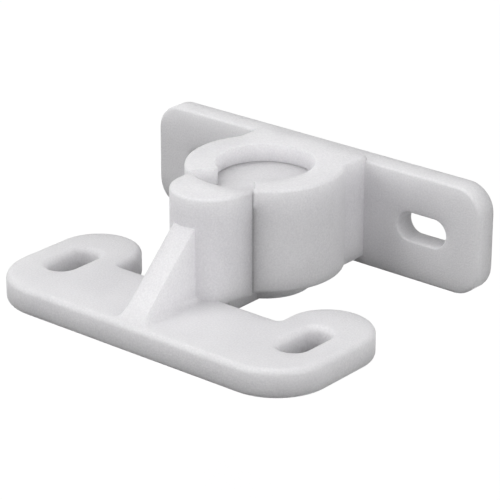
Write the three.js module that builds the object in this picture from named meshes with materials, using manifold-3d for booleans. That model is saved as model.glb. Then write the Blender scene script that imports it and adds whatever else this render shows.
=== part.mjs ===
// A two-piece moulded catch: a screw-on plate with an open round clip, and a screw-down strike
// whose round knuckle slides in the clip. Millimetres, +Z up, the strike in front at -Y.
// The origin is the middle of the plate's back face.
import * as THREE from "three";
import { mergeVertices } from "three/addons/utils/BufferGeometryUtils.js";
import Module from "manifold-3d";

const wasm = await Module();
wasm.setup();

// Plate
const PLATE_LENGTH = 50.8;
const PLATE_HEIGHT = 13.8;
const PLATE_THICKNESS = 3.1;
const PLATE_CORNER_RADIUS = 3.5;
const PLATE_EDGE_RADIUS = 0.4;
const PLATE_SLOT_LENGTH = 7.2;
const PLATE_SLOT_WIDTH = 3.6;
const PLATE_SLOT_SPACING = 33.8;

// Clip on the plate
const CLIP_OUTER_RADIUS = 9.8;
const CLIP_WALL = 3.7;
const CLIP_HEIGHT = 13.2;
const CLIP_RISE = 0.5; // from the plate's top to the clip's top
const CLIP_STANDOFF = 9.1; // from the plate's front face to the clip's axis
const CLIP_EDGE_RADIUS = 0.4;
const CLIP_STEM_WIDTH = 16.5;
const CLIP_STEM_ROOT = 0.3; // how far the stem is sunk into the plate
const MOUTH_WIDTH = 6.2; // between the ends of the clip's jaws

// Knuckle, web and post of the strike
const KNUCKLE_DROP = 2.25; // from the clip's top to the knuckle's top
const KNUCKLE_HEIGHT = 13.4;
const KNUCKLE_EDGE_RADIUS = 0.5;
const POST_RADIUS = 4.75;
const POST_REACH = 10.4; // from the clip's axis to the post's axis
const POST_EDGE_RADIUS = 0.4;
const POST_ROOT = 0.5; // how far the post and the gusset are sunk into the base

// Base and gusset of the strike
const BASE_DROP = 12.9; // from the clip's top to the base's top
const BASE_THICKNESS = 3.7;
const BASE_DEPTH = 12.6; // from the notch's floor to the front edge
const BASE_EDGE_RADIUS = 0.8;
const BASE_CORNER_RADIUS = 7.3;
const ARM_WIDTH = 11.2;
const ARM_STRAIGHT = 2.0; // from the notch's floor to where the arm's round tip starts
const NOTCH_FILLET_RADIUS = 0.5;
const BASE_SLOT_LENGTH = 7.6;
const BASE_SLOT_WIDTH = 3.6;
const BASE_SLOT_OFFSET = 4.2; // from the middle of the arm's round tip to the slot's middle
const DISH_MARGIN = 0.9;
const DISH_DEPTH = 0.7;
const GUSSET_THICKNESS = 3.25;
const GUSSET_DROP = 3.8; // from the clip's top to the gusset's upper end
const GUSSET_FLARE = 1.1;

// Clearances
const KNUCKLE_CLEARANCE = 0.3;
const JAW_CLEARANCE = 0.3;
const NOTCH_SIDE_CLEARANCE = 2.85;
const NOTCH_FRONT_CLEARANCE = 2.95;

// Fineness of the round stretches
const ROUND_STEPS = 64;
const FILLET_STEPS = 8;
const EDGE_STEPS = 3;
const CUT_MARGIN = 1; // how far a cutting body runs past what it cuts

// Places worked out from the sizes above
const TOP_Z = PLATE_HEIGHT / 2 + CLIP_RISE; // the top of the clip and the post
const AXIS_Y = -PLATE_THICKNESS - CLIP_STANDOFF;
const BORE_RADIUS = CLIP_OUTER_RADIUS - CLIP_WALL;
const KNUCKLE_RADIUS = BORE_RADIUS - KNUCKLE_CLEARANCE;
const KNUCKLE_TOP_Z = TOP_Z - KNUCKLE_DROP;
const WEB_THICKNESS = MOUTH_WIDTH - 2 * JAW_CLEARANCE;
const POST_Y = AXIS_Y - POST_REACH;
const BASE_TOP_Z = TOP_Z - BASE_DROP;
const NOTCH_HALF_WIDTH = CLIP_OUTER_RADIUS + NOTCH_SIDE_CLEARANCE;
const NOTCH_Y = AXIS_Y - CLIP_OUTER_RADIUS - NOTCH_FRONT_CLEARANCE;
const BASE_HALF_WIDTH = NOTCH_HALF_WIDTH + ARM_WIDTH;
const BASE_FRONT_Y = NOTCH_Y - BASE_DEPTH;
const ARM_TIP_Y = NOTCH_Y + ARM_STRAIGHT; // the middle of the arm's round tip

// A closed geometry as a solid that can be joined and cut.
function solid(geometry) {
  const bare = geometry.clone();
  bare.deleteAttribute("normal");
  bare.deleteAttribute("uv");
  const merged = mergeVertices(bare, 1e-4);
  const corners = merged.index.array;
  const kept = [];
  for (let i = 0; i < corners.length; i += 3) {
    const [a, b, c] = [corners[i], corners[i + 1], corners[i + 2]];
    if (a !== b && b !== c && a !== c) kept.push(a, b, c);
  }
  return new wasm.Manifold(
    new wasm.Mesh({
      numProp: 3,
      vertProperties: merged.attributes.position.array,
      triVerts: new Uint32Array(kept),
    }),
  );
}

// A finished solid as a named mesh with a moulded white plastic.
function piece(name, body) {
  const made = body.getMesh();
  const geometry = new THREE.BufferGeometry();
  geometry.setAttribute("position", new THREE.BufferAttribute(made.vertProperties, made.numProp));
  geometry.setIndex(new THREE.BufferAttribute(made.triVerts, 1));
  geometry.computeVertexNormals();
  const plastic = new THREE.MeshStandardMaterial({
    color: 0xe9e7ea,
    roughness: 0.42,
    metalness: 0,
  });
  const mesh = new THREE.Mesh(geometry, plastic);
  mesh.name = name;
  return mesh;
}

// An outline extruded upwards between two heights, with its edges rounded by the given radius.
function slab(outline, bottom, top, edge) {
  const geometry = new THREE.ExtrudeGeometry(outline, {
    depth: top - bottom - 2 * edge,
    curveSegments: FILLET_STEPS,
    bevelEnabled: edge > 0,
    bevelThickness: edge,
    bevelSize: edge,
    bevelOffset: -edge,
    bevelSegments: EDGE_STEPS,
  });
  return geometry.translate(0, 0, bottom + edge);
}

// A turned pin on the Z axis between two heights, with a rounded rim at each end.
function pin(radius, bottom, top, lowerEdge, upperEdge) {
  const profile = new THREE.Path();
  profile.moveTo(0, bottom);
  profile.lineTo(radius - lowerEdge, bottom);
  if (lowerEdge > 0) profile.absarc(radius - lowerEdge, bottom + lowerEdge, lowerEdge, -Math.PI / 2, 0);
  profile.lineTo(radius, top - upperEdge);
  if (upperEdge > 0) profile.absarc(radius - upperEdge, top - upperEdge, upperEdge, 0, Math.PI / 2);
  profile.lineTo(0, top);
  const lathe = new THREE.LatheGeometry(profile.getPoints(EDGE_STEPS), ROUND_STEPS);
  return lathe.rotateX(Math.PI / 2);
}

// A block between two corners.
function block(low, high) {
  const size = high.map((value, i) => value - low[i]);
  const middle = high.map((value, i) => (value + low[i]) / 2);
  return new THREE.BoxGeometry(...size).translate(...middle);
}

// A rectangle with rounded corners, centred on the origin.
function roundedRectangle(width, height, radius) {
  const [x, y] = [width / 2 - radius, height / 2 - radius];
  const outline = new THREE.Shape();
  outline.absarc(x, y, radius, 0, Math.PI / 2);
  outline.absarc(-x, y, radius, Math.PI / 2, Math.PI);
  outline.absarc(-x, -y, radius, Math.PI, 1.5 * Math.PI);
  outline.absarc(x, -y, radius, 1.5 * Math.PI, 2 * Math.PI);
  outline.closePath();
  return outline;
}

// An oblong slot's outline, long along X, about the given middle.
function slotOutline(length, width, x) {
  const reach = (length - width) / 2;
  const outline = new THREE.Shape();
  outline.absarc(x + reach, 0, width / 2, -Math.PI / 2, Math.PI / 2);
  outline.absarc(x - reach, 0, width / 2, Math.PI / 2, 1.5 * Math.PI);
  outline.closePath();
  return outline;
}

// The screw plate, standing upright with its slots lying along X.
function screwPlate() {
  const outline = roundedRectangle(PLATE_LENGTH, PLATE_HEIGHT, PLATE_CORNER_RADIUS);
  for (const side of [-1, 1]) {
    outline.holes.push(slotOutline(PLATE_SLOT_LENGTH, PLATE_SLOT_WIDTH, (side * PLATE_SLOT_SPACING) / 2));
  }
  return solid(slab(outline, 0, PLATE_THICKNESS, PLATE_EDGE_RADIUS).rotateX(Math.PI / 2));
}

// The clip: a thick ring on a stem, with a bore for the knuckle, a mouth for the web and a nest in
// front for the post.
function clip() {
  const bottom = TOP_Z - CLIP_HEIGHT;
  const barrel = pin(CLIP_OUTER_RADIUS, bottom, TOP_Z, CLIP_EDGE_RADIUS, CLIP_EDGE_RADIUS);
  const stem = block(
    [-CLIP_STEM_WIDTH / 2, AXIS_Y, bottom],
    [CLIP_STEM_WIDTH / 2, CLIP_STEM_ROOT - PLATE_THICKNESS, TOP_Z],
  );
  const bore = pin(BORE_RADIUS, bottom - CUT_MARGIN, TOP_Z + CUT_MARGIN, 0, 0);
  const nest = pin(POST_RADIUS + JAW_CLEARANCE, bottom - CUT_MARGIN, TOP_Z + CUT_MARGIN, 0, 0);
  const mouth = block(
    [-MOUTH_WIDTH / 2, POST_Y, bottom - CUT_MARGIN],
    [MOUTH_WIDTH / 2, AXIS_Y, TOP_Z + CUT_MARGIN],
  );
  return solid(barrel.translate(0, AXIS_Y, 0))
    .add(solid(stem))
    .subtract(solid(mouth))
    .subtract(solid(bore.translate(0, AXIS_Y, 0)))
    .subtract(solid(nest.translate(0, POST_Y, 0)));
}

// The U-shaped base's outline, seen from above.
function baseOutline() {
  const tipRadius = ARM_WIDTH / 2;
  const tipX = NOTCH_HALF_WIDTH + tipRadius;
  const cornerX = BASE_HALF_WIDTH - BASE_CORNER_RADIUS;
  const cornerY = BASE_FRONT_Y + BASE_CORNER_RADIUS;
  const filletX = NOTCH_HALF_WIDTH - NOTCH_FILLET_RADIUS;
  const filletY = NOTCH_Y + NOTCH_FILLET_RADIUS;
  const outline = new THREE.Shape();
  outline.absarc(cornerX, cornerY, BASE_CORNER_RADIUS, -Math.PI / 2, 0);
  outline.absarc(tipX, ARM_TIP_Y, tipRadius, 0, Math.PI);
  outline.absarc(filletX, filletY, NOTCH_FILLET_RADIUS, 0, -Math.PI / 2, true);
  outline.absarc(-filletX, filletY, NOTCH_FILLET_RADIUS, -Math.PI / 2, -Math.PI, true);
  outline.absarc(-tipX, ARM_TIP_Y, tipRadius, 0, Math.PI);
  outline.absarc(-cornerX, cornerY, BASE_CORNER_RADIUS, Math.PI, 1.5 * Math.PI);
  outline.closePath();
  return outline;
}

// One screw slot in an arm of the base, running front to back, with a dished rim at the top.
function armSlot(side) {
  const x = side * (NOTCH_HALF_WIDTH + ARM_WIDTH / 2);
  const y = ARM_TIP_Y - BASE_SLOT_OFFSET;
  const outline = slotOutline(BASE_SLOT_LENGTH, BASE_SLOT_WIDTH, 0);
  const through = slab(outline, BASE_TOP_Z - BASE_THICKNESS - CUT_MARGIN, BASE_TOP_Z + CUT_MARGIN, 0);
  const dish = new THREE.ExtrudeGeometry(outline, {
    depth: CUT_MARGIN,
    curveSegments: FILLET_STEPS,
    bevelThickness: DISH_DEPTH,
    bevelSize: DISH_MARGIN,
    bevelSegments: EDGE_STEPS,
  }).translate(0, 0, BASE_TOP_Z);
  const cut = solid(through).add(solid(dish));
  return cut.rotate([0, 0, 90]).translate([x, y, 0]);
}

function base() {
  let body = solid(slab(baseOutline(), BASE_TOP_Z - BASE_THICKNESS, BASE_TOP_Z, BASE_EDGE_RADIUS));
  for (const side of [-1, 1]) {
    body = body.subtract(armSlot(side));
  }
  return body;
}

// The sloping rib from the base's front edge up to the post, with its foot flared on the base.
function gusset() {
  const footY = BASE_FRONT_Y + BASE_EDGE_RADIUS;
  const crestY = POST_Y - POST_RADIUS;
  const crestZ = TOP_Z - GUSSET_DROP;
  const rootZ = BASE_TOP_Z - POST_ROOT;
  const side = new THREE.Shape();
  side.moveTo(footY, rootZ);
  side.lineTo(POST_Y, rootZ);
  side.lineTo(POST_Y, crestZ);
  side.lineTo(crestY, crestZ);
  side.lineTo(footY, BASE_TOP_Z);
  side.closePath();
  const rib = new THREE.ExtrudeGeometry(side, { depth: GUSSET_THICKNESS, bevelEnabled: false });
  rib.translate(0, 0, -GUSSET_THICKNESS / 2);
  // The drawing's X, Y and depth become the part's Y, Z and X.
  rib.applyMatrix4(new THREE.Matrix4().set(0, 0, 1, 0, 1, 0, 0, 0, 0, 1, 0, 0, 0, 0, 0, 1));

  const halfFoot = GUSSET_THICKNESS / 2;
  const foot = new THREE.Shape();
  foot.moveTo(-halfFoot - GUSSET_FLARE, rootZ);
  foot.lineTo(halfFoot + GUSSET_FLARE, rootZ);
  foot.lineTo(halfFoot + GUSSET_FLARE, BASE_TOP_Z);
  foot.absarc(halfFoot + GUSSET_FLARE, BASE_TOP_Z + GUSSET_FLARE, GUSSET_FLARE, 1.5 * Math.PI, Math.PI, true);
  foot.absarc(-halfFoot - GUSSET_FLARE, BASE_TOP_Z + GUSSET_FLARE, GUSSET_FLARE, 0, -Math.PI / 2, true);
  foot.lineTo(-halfFoot - GUSSET_FLARE, rootZ);
  const flareLength = POST_Y - footY;
  const flare = new THREE.ExtrudeGeometry(foot, {
    depth: flareLength,
    curveSegments: EDGE_STEPS,
    bevelEnabled: false,
  });
  flare.rotateX(Math.PI / 2).translate(0, POST_Y, 0);
  // The flare stays under the rib's slope, which is carried on sideways to trim it.
  const trim = new THREE.ExtrudeGeometry(side, { depth: 4 * GUSSET_THICKNESS, bevelEnabled: false });
  trim.translate(0, 0, -2 * GUSSET_THICKNESS);
  trim.applyMatrix4(new THREE.Matrix4().set(0, 0, 1, 0, 1, 0, 0, 0, 0, 1, 0, 0, 0, 0, 0, 1));
  return solid(rib).add(solid(flare).intersect(solid(trim)));
}

// The knuckle, its web and the post. Above the knuckle's top the post keeps clear of the clip.
function knuckleAndPost() {
  const bottom = KNUCKLE_TOP_Z - KNUCKLE_HEIGHT;
  const knuckle = pin(KNUCKLE_RADIUS, bottom, KNUCKLE_TOP_Z, KNUCKLE_EDGE_RADIUS, 0);
  const web = block(
    [-WEB_THICKNESS / 2, POST_Y, bottom],
    [WEB_THICKNESS / 2, AXIS_Y, KNUCKLE_TOP_Z],
  );
  const post = pin(POST_RADIUS, BASE_TOP_Z - POST_ROOT, TOP_Z, 0, POST_EDGE_RADIUS);
  const clearance = pin(CLIP_OUTER_RADIUS + JAW_CLEARANCE, KNUCKLE_TOP_Z, TOP_Z + CUT_MARGIN, 0, 0);
  return solid(post.translate(0, POST_Y, 0))
    .subtract(solid(clearance.translate(0, AXIS_Y, 0)))
    .add(solid(knuckle.translate(0, AXIS_Y, 0)))
    .add(solid(web));
}

const part = new THREE.Group();
part.add(piece("catch_plate", screwPlate().add(clip())));
part.add(piece("knuckle_strike", base().add(gusset()).add(knuckleAndPost())));

export default part;
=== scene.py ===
"""Looks of a two-piece moulded knuckle catch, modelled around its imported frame.

A screw-on catch plate carries an open round clip, and a screw-down strike carries the knuckle that
slides in it. Lengths are in metres, +Z is up along the clip's axis, and the strike is in front at -Y.
"""
import math

import bmesh
import bpy
from bpy.props import FloatProperty, FloatVectorProperty, PointerProperty
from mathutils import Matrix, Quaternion, Vector


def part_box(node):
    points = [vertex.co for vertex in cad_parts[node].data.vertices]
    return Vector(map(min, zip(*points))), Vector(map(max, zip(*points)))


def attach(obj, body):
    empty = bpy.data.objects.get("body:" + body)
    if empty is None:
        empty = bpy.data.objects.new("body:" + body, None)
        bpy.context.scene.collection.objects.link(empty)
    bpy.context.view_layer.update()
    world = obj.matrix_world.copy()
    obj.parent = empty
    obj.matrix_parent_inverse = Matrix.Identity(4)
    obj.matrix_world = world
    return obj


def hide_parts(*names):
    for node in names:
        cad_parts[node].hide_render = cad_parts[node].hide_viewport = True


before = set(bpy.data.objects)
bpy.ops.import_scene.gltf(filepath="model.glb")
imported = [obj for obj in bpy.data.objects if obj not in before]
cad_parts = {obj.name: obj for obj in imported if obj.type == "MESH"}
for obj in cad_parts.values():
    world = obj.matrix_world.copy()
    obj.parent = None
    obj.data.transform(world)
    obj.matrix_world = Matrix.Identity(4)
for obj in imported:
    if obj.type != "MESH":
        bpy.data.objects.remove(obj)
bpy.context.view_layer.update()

bl_info = {
    "name": "Knuckle catch",
    "version": (1, 0, 0),
    "blender": (4, 5, 0),
    "location": "View3D > Sidebar > Catch",
    "description": "Models a moulded knuckle catch and its studio around the packed frame",
    "category": "Object",
}

PLATE_LOW, PLATE_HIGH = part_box("catch_plate")
STRIKE_LOW, STRIKE_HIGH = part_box("knuckle_strike")

# Modelling
MM = 0.001
NEAR = 0.01 * MM  # how close two places count as the same
END_SLACK = NEAR / 4  # kept between two roundings that would otherwise meet in one line
MERGE_GAP = NEAR / 5  # points closer than this are one point
CUT_GAP = NEAR / 10  # points closer than this to a cutting plane lie on it
SLIVER = 0.09 * MM  # steps shorter than this are run together before a rim is rounded
CUT_MARGIN = 1.0 * MM  # how far a cutting body runs past what it cuts
ROUND_STEPS = 128
HOLLOW_STEPS = 48
CORNER_STEPS = 14
EDGE_STEPS = 6
ROUND_PROFILE = 0.5
SMOOTH_ANGLE = math.radians(35)
FLAT_ANGLE = math.radians(0.3)
RIM_ANGLE = 1.0  # radians; the two faces at a rim turn by more than this
FACING = 0.9  # share of a face's normal along an axis from which it faces that way

# Plastic
PLASTIC_IOR = 1.49
PLASTIC_SPECULAR = 0.45
EVEN_GLOW = (1.0, 1.0, 1.0)  # light spreads alike in red, green and blue
DRIFT_SCALE = 90.0  # per metre
DRIFT_DETAIL = 3.0
GRAIN_DETAIL = 2.0
MOTTLE_LOW, MOTTLE_HIGH = 0.65, 1.35  # sums of drift and grain that give the colour and the shade
SHEEN_SPREAD = 0.06  # how far the roughness goes to either side of its mean
MIX_FACTOR, MIX_A, MIX_B, MIX_RESULT = 0, 6, 7, 2  # colour sockets of a mix node

# Studio
WHITE = (1.0, 1.0, 1.0, 1.0)
BACKDROP_LEVEL = 1.0
FLOOR_SIZE = 3.0
FLOOR_MATT = (0.06, 0.06, 0.06, 1.0)
FLOOR_GLOW = 0.97
SENSOR_WIDTH = 36.0  # millimetres
VIEW_START, VIEW_END = 0.01, 20.0
LAMP_AIM = (0.0, -0.016, 0.0)
LAMPS = (  # name, place, width and the setting with its power
    ("upper lamp", (-0.10, -0.12, 0.45), 0.45, "key_power"),
    ("side lamp", (0.46, -0.06, 0.14), 0.30, "side_power"),
    ("front lamp", (-0.22, -0.46, 0.20), 0.30, "front_power"),
)


def length(name, description, millimetres):
    return FloatProperty(
        name=name,
        description=description,
        default=millimetres * MM,
        min=0.0,
        unit="LENGTH",
        precision=5,
    )


def share(name, description, default):
    return FloatProperty(
        name=name,
        description=description,
        default=default,
        min=0.0,
        max=1.0,
        subtype="FACTOR",
    )


def tint(name, description, default):
    return FloatVectorProperty(
        name=name,
        description=description,
        default=default,
        min=0.0,
        max=1.0,
        size=3,
        subtype="COLOR",
    )


def angle(name, description, degrees):
    return FloatProperty(name=name, description=description, default=math.radians(degrees), subtype="ANGLE")


def power(name, description, watts):
    return FloatProperty(name=name, description=description, default=watts, unit="POWER")


class CatchPlateSizes(bpy.types.PropertyGroup):
    """Sizes of the plate and its clip."""

    thickness: length("Plate thickness", "From the plate's back to its front face", 3.1)
    corner: length("Plate corner", "Radius of the plate's four corners", 3.5)
    edge: length("Plate edge", "Rounding of the plate's rims", 0.4)
    slot_length: length("Slot length", "Length of a plate slot along X", 7.2)
    slot_width: length("Slot width", "Height of a plate slot", 3.6)
    slot_spacing: length("Slot spacing", "Between the middles of the plate's slots", 33.8)
    slot_edge: length("Slot edge", "Rounding of a plate slot's rims", 0.25)
    clip_radius: length("Clip radius", "Outer radius of the clip", 9.8)
    clip_wall: length("Clip wall", "Wall of the clip", 3.7)
    clip_height: length("Clip height", "Height of the clip", 13.2)
    standoff: length("Clip stand-off", "From the plate's front face to the clip's axis", 9.1)
    clip_edge: length("Clip edge", "Rounding of the clip's rims", 0.4)
    stem_width: length("Stem width", "Width of the stem between plate and clip", 16.5)
    stem_edge: length("Stem edge", "Rounding of the stem's long edges", 0.3)
    stem_root: length("Stem root", "How far the stem is sunk into the plate", 0.3)
    mouth: length("Mouth", "Between the ends of the clip's jaws", 6.2)
    lip: length("Jaw lip", "Radius of the hollow where a jaw meets the post", 3.0)


class StrikeSizes(bpy.types.PropertyGroup):
    """Sizes of the base, gusset, post and knuckle."""

    knuckle_drop: length("Knuckle drop", "From the clip's top to the knuckle's top", 2.25)
    knuckle_height: length("Knuckle height", "Height of the knuckle", 13.4)
    knuckle_edge: length("Knuckle edge", "Rounding of the knuckle's lower rim", 0.5)
    post_radius: length("Post radius", "Radius of the upright post", 4.75)
    post_reach: length("Post reach", "From the clip's axis to the post's axis", 10.4)
    seam: length("Seam", "From the post's round out to where a jaw starts", 0.7)
    post_root: length("Post root", "How far post and gusset are sunk into the base", 0.5)
    base_thickness: length("Base thickness", "Thickness of the U-shaped base", 3.7)
    base_depth: length("Base depth", "From the notch's floor to the front edge", 12.6)
    base_edge: length("Base edge", "Rounding of the base's rims", 0.8)
    base_corner: length("Base corner", "Radius of the base's front corners", 7.3)
    arm_width: length("Arm width", "Width of an arm of the base", 11.2)
    arm_straight: length("Arm straight", "From the notch's floor to the arm's round tip", 2.0)
    notch_corner: length("Notch corner", "Radius of the notch's inner corners", 0.5)
    slot_length: length("Base slot length", "Length of an arm's slot", 7.6)
    slot_width: length("Base slot width", "Width of an arm's slot", 3.6)
    slot_offset: length("Slot offset", "From the middle of the arm's tip to the slot's middle", 4.2)
    slot_edge: length("Base slot edge", "Soft rounding of an arm slot's upper rim", 0.9)
    slot_foot: length("Base slot foot", "Rounding of an arm slot's lower rim", 0.15)
    gusset_width: length("Gusset width", "Thickness of the sloping gusset", 3.25)
    gusset_drop: length("Gusset drop", "From the clip's top to the gusset's upper end", 3.8)
    gusset_flare: length("Gusset flare", "Radius of the hollow along the gusset's foot", 1.1)
    gusset_edge: length("Gusset edge", "Rounding of the gusset's slope edges", 0.15)
    play: length("Play", "Gap that shows between the two mouldings", 0.008)


class PlasticFinish(bpy.types.PropertyGroup):
    """Finish of the moulded white plastic."""

    colour: tint("Colour", "Main white of the plastic", (0.835, 0.825, 0.845))
    shade: tint("Shade", "Deeper white in the grain and in the drift", (0.695, 0.685, 0.710))
    roughness: share("Roughness", "Mean roughness of the satin surface", 0.46)
    grain: length("Grain", "Size of the fine moulded grain", 0.22)
    grain_depth: length("Grain depth", "Depth of the fine moulded grain", 0.06)
    glow: share("Glow", "Share of the light that spreads inside the milky plastic", 0.75)
    glow_reach: length("Glow reach", "How far the light spreads inside the plastic", 10.0)


class StudioSettings(bpy.types.PropertyGroup):
    """Camera, lamps and floor."""

    azimuth: angle("Azimuth", "Camera's turn about Z from straight in front", 39.75)
    elevation: angle("Elevation", "Camera's height above the level", 22.68)
    roll: angle("Roll", "Camera's turn about its own axis", 0.12)
    target: FloatVectorProperty(
        name="Target",
        description="Point that the camera looks at",
        subtype="TRANSLATION",
        size=3,
        unit="LENGTH",
        default=(1.145 * MM, -16.44 * MM, -2.563 * MM),
    )
    distance: length("Distance", "From the camera to its target", 294.9)
    lens: FloatProperty(name="Lens", description="Focal length in millimetres", default=175.2)
    floor_drop: length("Floor drop", "From the strike's underside to the floor", 22.0)
    key_power: power("Key", "Power of the large upper lamp", 1.25)
    side_power: power("Side", "Power of the right side lamp", 0.95)
    front_power: power("Front", "Power of the left front lamp", 0.9)
    sky: FloatProperty(name="Sky", description="Level of the even studio light", default=0.33, min=0.0)


def clear_selection():
    if bpy.context.object and bpy.context.object.mode != "OBJECT":
        bpy.ops.object.mode_set(mode="OBJECT")
    bpy.ops.object.select_all(action="DESELECT")


def take(piece):
    """Makes one piece the only selected and active one."""
    clear_selection()
    piece.select_set(True)
    bpy.context.view_layer.objects.active = piece


def settle(name):
    """Names the new primitive and puts its place into its mesh."""
    piece = bpy.context.object
    piece.name = name
    piece.data.name = name
    bpy.ops.object.transform_apply(location=True, rotation=True, scale=True)
    return piece


def add_block(name, low, high):
    """A block between two corners."""
    clear_selection()
    low, high = Vector(low), Vector(high)
    bpy.ops.mesh.primitive_cube_add(size=1.0, location=(low + high) / 2, scale=high - low)
    return settle(name)


def add_round(name, middle, radius, bottom, top, steps=ROUND_STEPS):
    """An upright round bar about a middle given by X and Y."""
    clear_selection()
    bpy.ops.mesh.primitive_cylinder_add(
        vertices=steps,
        radius=radius,
        depth=top - bottom,
        location=(middle[0], middle[1], (bottom + top) / 2),
    )
    return settle(name)


def edit_all(piece):
    """Enters edit mode with the whole piece selected."""
    take(piece)
    bpy.ops.object.mode_set(mode="EDIT")
    bpy.ops.mesh.select_all(action="SELECT")


def pick(piece, kind, wanted):
    """Enters edit mode with only the edges or faces that pass the test selected."""
    take(piece)
    bpy.ops.object.mode_set(mode="EDIT")
    bpy.ops.mesh.select_mode(type=kind)
    bpy.ops.mesh.select_all(action="DESELECT")
    shape = bmesh.from_edit_mesh(piece.data)
    elements = shape.edges if kind == "EDGE" else shape.faces
    found = [element for element in elements if wanted(element)]
    if not found:
        raise RuntimeError(f"{piece.name}: no {kind.lower()} passes the test")
    for element in found:
        element.select_set(True)
    bmesh.update_edit_mesh(piece.data)


def round_edges(piece, wanted, radius, steps=EDGE_STEPS):
    """Rounds the edges that pass the test, without sliding along the edges beside them."""
    pick(piece, "EDGE", wanted)
    bpy.ops.mesh.bevel(
        offset=radius,
        offset_type="OFFSET",
        segments=steps,
        profile=ROUND_PROFILE,
        affect="EDGES",
        loop_slide=False,
    )
    bpy.ops.mesh.select_all(action="SELECT")
    bpy.ops.mesh.remove_doubles(threshold=NEAR)
    bpy.ops.object.mode_set(mode="OBJECT")


def slice_off(piece, point, normal):
    """Cuts away what lies on the normal's side of a plane and closes the cut."""
    edit_all(piece)
    bpy.ops.mesh.bisect(
        plane_co=point,
        plane_no=normal.normalized(),
        use_fill=True,
        clear_outer=True,
        threshold=CUT_GAP,
    )
    bpy.ops.object.mode_set(mode="OBJECT")


def tidy_faces(piece, gap=MERGE_GAP):
    """Merges points closer than the gap and runs the parts of each flat face together."""
    edit_all(piece)
    bpy.ops.mesh.remove_doubles(threshold=gap)
    bpy.ops.mesh.dissolve_limited(angle_limit=FLAT_ANGLE)
    bpy.ops.object.mode_set(mode="OBJECT")


def combine(piece, other, operation):
    """Joins, cuts or crosses with another body, which is used up."""
    take(piece)
    step = piece.modifiers.new(operation.lower(), "BOOLEAN")
    step.operation = operation
    step.solver = "MANIFOLD"
    step.object = other
    bpy.ops.object.modifier_apply(modifier=step.name)
    bpy.data.objects.remove(other)
    if not piece.data.polygons:
        raise RuntimeError(f"{piece.name}: nothing is left after {operation.lower()}")
    tidy_faces(piece)


def along(edge, axis):
    """Whether an edge runs along one axis, given as 0, 1 or 2."""
    run = edge.verts[1].co - edge.verts[0].co
    return all(abs(run[i]) < NEAR for i in range(3) if i != axis)


def level(edge, axis, place):
    """Whether both ends of an edge lie at one place along an axis."""
    return all(abs(vert.co[axis] - place) < NEAR for vert in edge.verts)


def rim(edge, height):
    """Whether an edge is part of a sharp level rim at a height."""
    return level(edge, 2, height) and edge.calc_face_angle(0) > RIM_ANGLE


def oblong(name, middle, size, axis):
    """A cutting bar with round ends: size is its extent, axis the way it runs through."""
    half = Vector(size) / 2
    bar = add_block(name, Vector(middle) - half, Vector(middle) + half)
    across = min(size[i] for i in range(3) if i != axis)
    round_edges(bar, lambda edge: along(edge, axis), across / 2 - END_SLACK, CORNER_STEPS)
    return bar


def cut_slot(piece, name, middle, size, axis, rims):
    """Cuts a slot along an axis and rounds its rims, each given by its place and radius."""
    combine(piece, oblong(name, middle, size, axis), "DIFFERENCE")
    sides = [i for i in range(3) if i != axis]

    def inside(vert):
        return all(abs(vert.co[i] - middle[i]) < size[i] / 2 + NEAR for i in sides)

    for place, radius in rims:
        round_edges(piece, lambda edge: level(edge, axis, place) and all(map(inside, edge.verts)), radius)


def set_inputs(node, values):
    for name, value in values.items():
        node.inputs[name].default_value = value


def add_node(tree, kind, values=None):
    """A new node with some of its inputs set."""
    node = tree.nodes.new(kind)
    set_inputs(node, values or {})
    return node


def add_math(tree, operation, first, second):
    """The result of one sum over two sockets."""
    node = add_node(tree, "ShaderNodeMath")
    node.operation = operation
    tree.links.new(first, node.inputs[0])
    tree.links.new(second, node.inputs[1])
    return node.outputs[0]


def moulded_plastic(name, finish):
    """Satin milky plastic: a faint drift and a fine grain in its white, and an uneven sheen."""
    plastic = bpy.data.materials.new(name)
    plastic.use_nodes = True
    tree = plastic.node_tree
    link = tree.links.new
    shader = tree.nodes["Principled BSDF"]
    set_inputs(
        shader,
        {
            "IOR": PLASTIC_IOR,
            "Specular IOR Level": PLASTIC_SPECULAR,
            "Subsurface Weight": finish.glow,
            "Subsurface Radius": EVEN_GLOW,
            "Subsurface Scale": finish.glow_reach,
        },
    )

    place = add_node(tree, "ShaderNodeTexCoord")
    drift = add_node(tree, "ShaderNodeTexNoise", {"Scale": DRIFT_SCALE, "Detail": DRIFT_DETAIL})
    grain = add_node(tree, "ShaderNodeTexNoise", {"Scale": 1.0 / finish.grain, "Detail": GRAIN_DETAIL})
    for noise in (drift, grain):
        link(place.outputs["Object"], noise.inputs["Vector"])

    both = add_math(tree, "ADD", drift.outputs["Fac"], grain.outputs["Fac"])
    spread = add_node(tree, "ShaderNodeMapRange", {"From Min": MOTTLE_LOW, "From Max": MOTTLE_HIGH})
    link(both, spread.inputs["Value"])
    white = add_node(tree, "ShaderNodeMix")
    white.data_type = "RGBA"
    set_inputs(white, {MIX_A: (*finish.colour, 1.0), MIX_B: (*finish.shade, 1.0)})
    link(spread.outputs["Result"], white.inputs[MIX_FACTOR])
    link(white.outputs[MIX_RESULT], shader.inputs["Base Color"])

    bump = add_node(tree, "ShaderNodeBump", {"Strength": 1.0, "Distance": finish.grain_depth})
    link(grain.outputs["Fac"], bump.inputs["Height"])
    link(bump.outputs["Normal"], shader.inputs["Normal"])

    low, high = finish.roughness - SHEEN_SPREAD, finish.roughness + SHEEN_SPREAD
    sheen = add_node(tree, "ShaderNodeMapRange", {"To Min": low, "To Max": high})
    link(grain.outputs["Fac"], sheen.inputs["Value"])
    link(sheen.outputs["Result"], shader.inputs["Roughness"])
    return plastic


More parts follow.
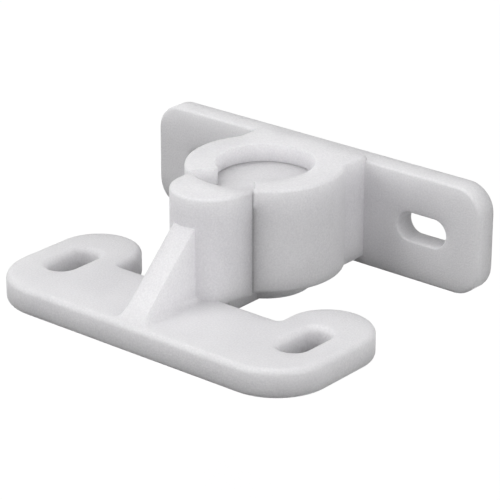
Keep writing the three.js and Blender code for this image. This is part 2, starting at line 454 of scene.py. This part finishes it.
def finish_moulding(piece, plastic, body, node):
    """Smooths a finished moulding, gives it its plastic and sets it on its body."""
    edit_all(piece)
    bpy.ops.mesh.remove_doubles(threshold=MERGE_GAP)
    bpy.ops.mesh.normals_make_consistent(inside=False)
    bpy.ops.object.mode_set(mode="OBJECT")
    bpy.ops.object.shade_smooth_by_angle(angle=SMOOTH_ANGLE)
    even = piece.modifiers.new("even shading", "WEIGHTED_NORMAL")
    even.keep_sharp = True
    bpy.ops.object.modifier_apply(modifier=even.name)
    piece.data.materials.clear()
    piece.data.materials.append(plastic)
    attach(piece, body)
    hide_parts(node)


class Places:
    """Places worked out from the sizes, in the part's frame."""

    def __init__(self, scene):
        catch, strike = scene.catch_sizes, scene.strike_sizes
        self.top = PLATE_HIGH.z
        # The plate reaches as far up as down, and the clip rises above it.
        self.plate_top = -PLATE_LOW.z
        self.plate_front = -catch.thickness
        self.axis = (0.0, self.plate_front - catch.standoff)
        self.bore = catch.clip_radius - catch.clip_wall
        self.clip_bottom = self.top - catch.clip_height
        self.post = (0.0, self.axis[1] - strike.post_reach)
        self.knuckle_top = self.top - strike.knuckle_drop
        self.knuckle_bottom = self.knuckle_top - strike.knuckle_height
        self.base_bottom = STRIKE_LOW.z
        self.base_top = STRIKE_LOW.z + strike.base_thickness
        self.root = self.base_top - strike.post_root
        self.base_front = STRIKE_LOW.y
        self.notch_y = self.base_front + strike.base_depth
        self.notch_x = STRIKE_HIGH.x - strike.arm_width
        self.tip_y = self.notch_y + strike.arm_straight


def head(name, scene, bottom, lower_edge=0.0):
    """The clip's barrel and the post as one upright form, run together by a hollow on each side.

    Both mouldings are cut from it, so that their rims meet in one line.
    """
    catch, strike, at = scene.catch_sizes, scene.strike_sizes, Places(scene)
    body = add_round(name, at.axis, catch.clip_radius, bottom, at.top)
    combine(body, add_round("post_round", at.post, strike.post_radius, bottom, at.top), "UNION")
    # The middle of each hollow lies at the lip's radius outside both rounds.
    to_axis = catch.clip_radius + catch.lip
    to_post = strike.post_radius + catch.lip
    reach = strike.post_reach
    ahead = (to_axis**2 - to_post**2 + reach**2) / (2 * reach)
    aside = math.sqrt(to_axis**2 - ahead**2)
    hollow_y = at.axis[1] - ahead
    web = add_block("hollow_web", (-aside, at.post[1], bottom), (aside, at.axis[1], at.top))
    for side in (-1, 1):
        # The web keeps to the triangle between the two axes and the hollow's middle.
        middle = Vector((side * aside, hollow_y, 0.0))
        for end, turn in ((at.axis, 1), (at.post, -1)):
            run = middle - Vector((*end, 0.0))
            slice_off(web, middle, Vector((-run.y, run.x, 0.0)) * side * turn)
    low, high = bottom - CUT_MARGIN, at.top + CUT_MARGIN
    for side in (-1, 1):
        hollow = add_round("hollow", (side * aside, hollow_y), catch.lip, low, high, HOLLOW_STEPS)
        combine(web, hollow, "DIFFERENCE")
    combine(body, web, "UNION")
    tidy_faces(body, SLIVER)
    round_edges(body, lambda edge: rim(edge, at.top), catch.clip_edge)
    if lower_edge:
        round_edges(body, lambda edge: rim(edge, bottom), lower_edge)
    return body


class CATCH_OT_plate(bpy.types.Operator):
    """Model the screw plate with its open clip"""

    bl_idname = "catch.plate"
    bl_label = "Catch plate"

    def plate(self, scene):
        catch, at = scene.catch_sizes, Places(scene)
        front, back = at.plate_front, PLATE_HIGH.y
        plate = add_block(
            "catch_plate_look",
            (PLATE_LOW.x, front, PLATE_LOW.z),
            (PLATE_HIGH.x, back, at.plate_top),
        )
        round_edges(plate, lambda edge: along(edge, 1), catch.corner, CORNER_STEPS)
        for face_y in (front, back):
            round_edges(plate, lambda edge: level(edge, 1, face_y), catch.edge)
        size = (catch.slot_length, catch.thickness + 2 * CUT_MARGIN, catch.slot_width)
        rims = ((front, catch.slot_edge), (back, catch.slot_edge))
        for side in (-1, 1):
            middle = (side * catch.slot_spacing / 2, front / 2, 0.0)
            cut_slot(plate, "plate_slot", middle, size, 1, rims)
        return plate

    def clip(self, scene):
        catch, strike, at = scene.catch_sizes, scene.strike_sizes, Places(scene)
        clip = head("clip", scene, at.clip_bottom, catch.clip_edge)
        half = catch.stem_width / 2
        stem = add_block(
            "stem",
            (-half, at.axis[1], at.clip_bottom),
            (half, at.plate_front + catch.stem_root, at.top),
        )
        round_edges(stem, lambda edge: along(edge, 1), catch.stem_edge)
        combine(clip, stem, "UNION")
        low, high = at.clip_bottom - CUT_MARGIN, at.top + CUT_MARGIN
        combine(clip, add_round("bore", at.axis, at.bore, low, high), "DIFFERENCE")
        nest = strike.post_radius + strike.seam + strike.play
        combine(clip, add_round("nest", at.post, nest, low, high), "DIFFERENCE")
        gap = catch.mouth / 2
        mouth = add_block("mouth", (-gap, at.post[1], low), (gap, at.axis[1], high))
        combine(clip, mouth, "DIFFERENCE")
        # What stood in front of the nest belongs to the strike.
        ahead = at.post[1] - 2 * strike.post_radius
        loose = add_block("front_of_nest", (-half, ahead, low), (half, at.post[1], high))
        combine(clip, loose, "DIFFERENCE")
        return clip

    def execute(self, context):
        scene = context.scene
        plate = self.plate(scene)
        combine(plate, self.clip(scene), "UNION")
        plastic = moulded_plastic("catch plastic", scene.plastic_finish)
        finish_moulding(plate, plastic, "catch", "catch_plate")
        return {"FINISHED"}


class CATCH_OT_strike(bpy.types.Operator):
    """Model the strike: base, gusset, post and knuckle"""

    bl_idname = "catch.strike"
    bl_label = "Knuckle strike"

    def base(self, scene):
        strike, at = scene.strike_sizes, Places(scene)
        base = add_block(
            "knuckle_strike_look",
            (STRIKE_LOW.x, at.base_front, at.base_bottom),
            (STRIKE_HIGH.x, at.notch_y, at.base_top),
        )
        for side in (-1, 1):
            edit_all(base)
            place = (side * at.notch_x, 0, 0)
            bpy.ops.mesh.bisect(plane_co=place, plane_no=(1, 0, 0), threshold=CUT_GAP)
        # The arms are drawn out of the back, on both sides of the notch.
        pick(
            base,
            "FACE",
            lambda face: face.normal.y > FACING and abs(face.calc_center_median().x) > at.notch_x,
        )
        arm = at.tip_y + strike.arm_width / 2 - at.notch_y
        bpy.ops.mesh.extrude_region_move(TRANSFORM_OT_translate={"value": (0, arm, 0)})
        bpy.ops.mesh.select_all(action="SELECT")
        bpy.ops.mesh.dissolve_limited(angle_limit=FLAT_ANGLE)
        bpy.ops.object.mode_set(mode="OBJECT")

        for place, radius in (
            (at.base_front, strike.base_corner),
            (at.notch_y, strike.notch_corner),
            (at.notch_y + arm, strike.arm_width / 2 - END_SLACK),
        ):
            round_edges(base, lambda edge: along(edge, 2) and level(edge, 1, place), radius, CORNER_STEPS)
        for face_z in (at.base_top, at.base_bottom):
            round_edges(base, lambda edge: level(edge, 2, face_z), strike.base_edge)

        size = (strike.slot_width, strike.slot_length, strike.base_thickness + 2 * CUT_MARGIN)
        rims = ((at.base_top, strike.slot_edge), (at.base_bottom, strike.slot_foot))
        for side in (-1, 1):
            middle = (
                side * (at.notch_x + strike.arm_width / 2),
                at.tip_y - strike.slot_offset,
                (at.base_top + at.base_bottom) / 2,
            )
            cut_slot(base, "arm_slot", middle, size, 2, rims)
        return base

    def gusset(self, scene):
        strike, at = scene.strike_sizes, Places(scene)
        half = strike.gusset_width / 2
        foot = Vector((0.0, at.base_front + strike.base_edge, at.base_top))
        crest = Vector((0.0, at.post[1] - strike.post_radius, at.top - strike.gusset_drop))
        slope = crest - foot
        outward = Vector((0.0, -slope.z, slope.y))

        def on_slope(vert):
            return abs((vert.co - foot).dot(outward.normalized())) < NEAR

        rib = add_block("gusset", (-half, foot.y, at.root), (half, at.post[1], crest.z))
        slice_off(rib, foot, outward)
        round_edges(
            rib,
            lambda edge: not along(edge, 0) and all(map(on_slope, edge.verts)),
            strike.gusset_edge,
        )
        # The hollow along the foot: a wider strip, scooped out on both sides.
        flare = strike.gusset_flare
        strip = add_block(
            "gusset_foot",
            (-half - flare, foot.y, at.root),
            (half + flare, at.post[1], at.base_top + flare),
        )
        for side in (-1, 1):
            clear_selection()
            bpy.ops.mesh.primitive_cylinder_add(
                vertices=ROUND_STEPS,
                radius=flare,
                depth=2 * (at.post[1] - foot.y),
                location=(side * (half + flare), foot.y, at.base_top + flare),
                rotation=(math.pi / 2, 0, 0),
            )
            combine(strip, settle("scoop"), "DIFFERENCE")
        slice_off(strip, foot, outward)
        combine(rib, strip, "UNION")
        return rib

    def post(self, scene):
        catch, strike, at = scene.catch_sizes, scene.strike_sizes, Places(scene)
        post = head("post", scene, at.root)
        low, high = at.root - CUT_MARGIN, at.top + CUT_MARGIN
        # Kept of the head: all that is in front of the jaws, and the round of the post behind that.
        kept = add_round("post_bar", at.post, strike.post_radius + strike.seam, low, high)
        wide = 2 * strike.post_radius
        ahead = add_block("ahead_of_jaws", (-wide, at.post[1] - wide, low), (wide, at.post[1], high))
        combine(kept, ahead, "UNION")
        combine(post, kept, "INTERSECT")
        clear = add_round("clip_room", at.axis, catch.clip_radius + strike.play, at.knuckle_top, high)
        combine(post, clear, "DIFFERENCE")
        return post

    def knuckle(self, scene):
        catch, strike, at = scene.catch_sizes, scene.strike_sizes, Places(scene)
        bottom, top = at.knuckle_bottom, at.knuckle_top
        knuckle = add_round("knuckle", at.axis, at.bore - strike.play, bottom, top)
        round_edges(knuckle, lambda edge: level(edge, 2, bottom), strike.knuckle_edge)
        half = catch.mouth / 2 - strike.play
        web = add_block("web", (-half, at.post[1], bottom), (half, at.axis[1], top))
        combine(knuckle, web, "UNION")
        return knuckle

    def execute(self, context):
        scene = context.scene
        strike_look = self.base(scene)
        post = self.post(scene)
        combine(post, self.knuckle(scene), "UNION")
        combine(post, self.gusset(scene), "UNION")
        combine(strike_look, post, "UNION")
        plastic = moulded_plastic("strike plastic", scene.plastic_finish)
        finish_moulding(strike_look, plastic, "strike", "knuckle_strike")
        return {"FINISHED"}


class CATCH_OT_studio(bpy.types.Operator):
    """Set up the camera, lamps, floor and white backdrop"""

    bl_idname = "catch.studio"
    bl_label = "Studio"

    def show(self, tree, lighting, seen, output):
        """Shows one shader to the camera and in mirrored or clear views, and lights with the other."""
        path = add_node(tree, "ShaderNodeLightPath")
        viewed = path.outputs["Is Camera Ray"]
        for ray in ("Is Glossy Ray", "Is Transmission Ray"):
            viewed = add_math(tree, "MAXIMUM", viewed, path.outputs[ray])
        mix = add_node(tree, "ShaderNodeMixShader")
        tree.links.new(viewed, mix.inputs[0])
        tree.links.new(lighting.outputs[0], mix.inputs[1])
        tree.links.new(seen.outputs[0], mix.inputs[2])
        tree.links.new(mix.outputs[0], tree.nodes[output].inputs["Surface"])

    def backdrop(self, scene, studio):
        world = bpy.data.worlds.new("studio")
        scene.world = world
        world.use_nodes = True
        tree = world.node_tree
        even = tree.nodes["Background"]
        set_inputs(even, {"Color": WHITE, "Strength": studio.sky})
        white = add_node(tree, "ShaderNodeBackground", {"Color": WHITE, "Strength": BACKDROP_LEVEL})
        self.show(tree, even, white, "World Output")

    def floor(self, studio):
        clear_selection()
        height = STRIKE_LOW.z - studio.floor_drop
        bpy.ops.mesh.primitive_plane_add(size=FLOOR_SIZE, location=(0, 0, height))
        floor = settle("floor")
        pale = bpy.data.materials.new("pale floor")
        pale.use_nodes = True
        tree = pale.node_tree
        tree.nodes.remove(tree.nodes["Principled BSDF"])
        matt = add_node(tree, "ShaderNodeBsdfDiffuse", {"Color": FLOOR_MATT})
        glow = add_node(tree, "ShaderNodeEmission", {"Strength": FLOOR_GLOW})
        together = add_node(tree, "ShaderNodeAddShader")
        tree.links.new(matt.outputs[0], together.inputs[0])
        tree.links.new(glow.outputs[0], together.inputs[1])
        self.show(tree, matt, together, "Material Output")
        floor.data.materials.append(pale)

    def lamp(self, name, place, width, watts):
        clear_selection()
        bpy.ops.object.light_add(type="AREA", location=place)
        lamp = bpy.context.object
        lamp.name = name
        lamp.data.shape = "DISK"
        lamp.data.size = width
        lamp.data.energy = watts
        lamp.rotation_euler = (Vector(LAMP_AIM) - Vector(place)).to_track_quat("-Z", "Y").to_euler()

    def camera(self, scene, studio):
        turn, rise = studio.azimuth, studio.elevation
        out = math.cos(rise)
        back = Vector((math.sin(turn) * out, -math.cos(turn) * out, math.sin(rise)))
        clear_selection()
        bpy.ops.object.camera_add(location=Vector(studio.target) + back * studio.distance)
        camera = bpy.context.object
        camera.rotation_mode = "QUATERNION"
        level_turn = (-back).to_track_quat("-Z", "Y")
        camera.rotation_quaternion = level_turn @ Quaternion((0, 0, 1), studio.roll)
        camera.data.sensor_width = SENSOR_WIDTH
        camera.data.lens = studio.lens
        camera.data.clip_start = VIEW_START
        camera.data.clip_end = VIEW_END
        scene.camera = camera

    def execute(self, context):
        scene = context.scene
        studio = scene.studio_settings
        scene.view_settings.view_transform = "Standard"
        self.backdrop(scene, studio)
        self.floor(studio)
        for name, place, width, setting in LAMPS:
            self.lamp(name, place, width, getattr(studio, setting))
        self.camera(scene, studio)
        return {"FINISHED"}


class CATCH_PT_panel(bpy.types.Panel):
    """Lists the catch's pieces and its studio"""

    bl_label = "Knuckle catch"
    bl_idname = "CATCH_PT_panel"
    bl_space_type = "VIEW_3D"
    bl_region_type = "UI"
    bl_category = "Catch"

    def draw(self, context):
        for kind in (CATCH_OT_plate, CATCH_OT_strike, CATCH_OT_studio):
            self.layout.operator(kind.bl_idname)


CLASSES = (
    CatchPlateSizes,
    StrikeSizes,
    PlasticFinish,
    StudioSettings,
    CATCH_OT_plate,
    CATCH_OT_strike,
    CATCH_OT_studio,
    CATCH_PT_panel,
)


def register():
    for kind in CLASSES:
        bpy.utils.register_class(kind)
    bpy.types.Scene.catch_sizes = PointerProperty(type=CatchPlateSizes)
    bpy.types.Scene.strike_sizes = PointerProperty(type=StrikeSizes)
    bpy.types.Scene.plastic_finish = PointerProperty(type=PlasticFinish)
    bpy.types.Scene.studio_settings = PointerProperty(type=StudioSettings)


def unregister():
    del bpy.types.Scene.studio_settings
    del bpy.types.Scene.plastic_finish
    del bpy.types.Scene.strike_sizes
    del bpy.types.Scene.catch_sizes
    for kind in reversed(CLASSES):
        bpy.utils.unregister_class(kind)


def main():
    register()
    bpy.ops.catch.plate()
    bpy.ops.catch.strike()
    bpy.ops.catch.studio()


if __name__ == "__main__":
    main()
